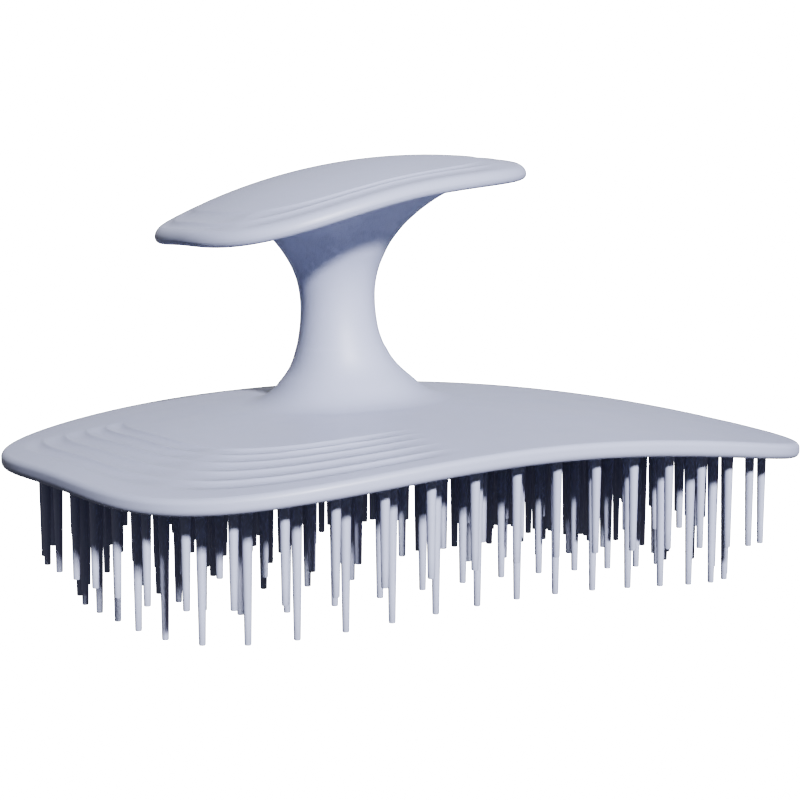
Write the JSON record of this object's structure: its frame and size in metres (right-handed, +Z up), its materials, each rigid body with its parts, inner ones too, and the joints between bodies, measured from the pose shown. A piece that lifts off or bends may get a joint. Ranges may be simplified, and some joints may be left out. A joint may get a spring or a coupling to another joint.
{
  "type": "scalp massager brush",
  "caption": "Hand-held scalp massager brush: arched body with concentric rows of long and short tapered pins, a waisted stem and a tilted palm rest.",
  "frame": {"origin": "middle of the body's outline, on the plane of the lowest pin tips", "axes": "+Z up, away from the scalp; +X along the body's length, with the palm rest's high end towards +X and its stem set towards -X"},
  "size_m": [0.1076, 0.0794, 0.0609],
  "materials": {
    "shell": "pale lavender-grey satin moulded plastic",
    "pins": "pale lavender-grey flexible plastic",
    "core": "dark stiff plastic",
    "screw": "plain steel"
  },
  "bodies": {
    "root": {"dome_cover": "shell", "bristle_pad": "shell", "short_pins_row_1": "pins", "long_pins_row_2": "pins", "short_pins_row_3": "pins", "long_pins_row_4": "pins", "short_pins_row_5": "pins", "long_pins_row_6": "pins", "short_pins_row_7": "pins", "long_pins_row_8": "pins", "short_pins_row_9": "pins", "stem": "shell", "stem_core": "core", "palm_rest_base": "shell", "palm_rest_cover": "shell", "clamp_screw": "screw"}
  },
  "joints": []
}
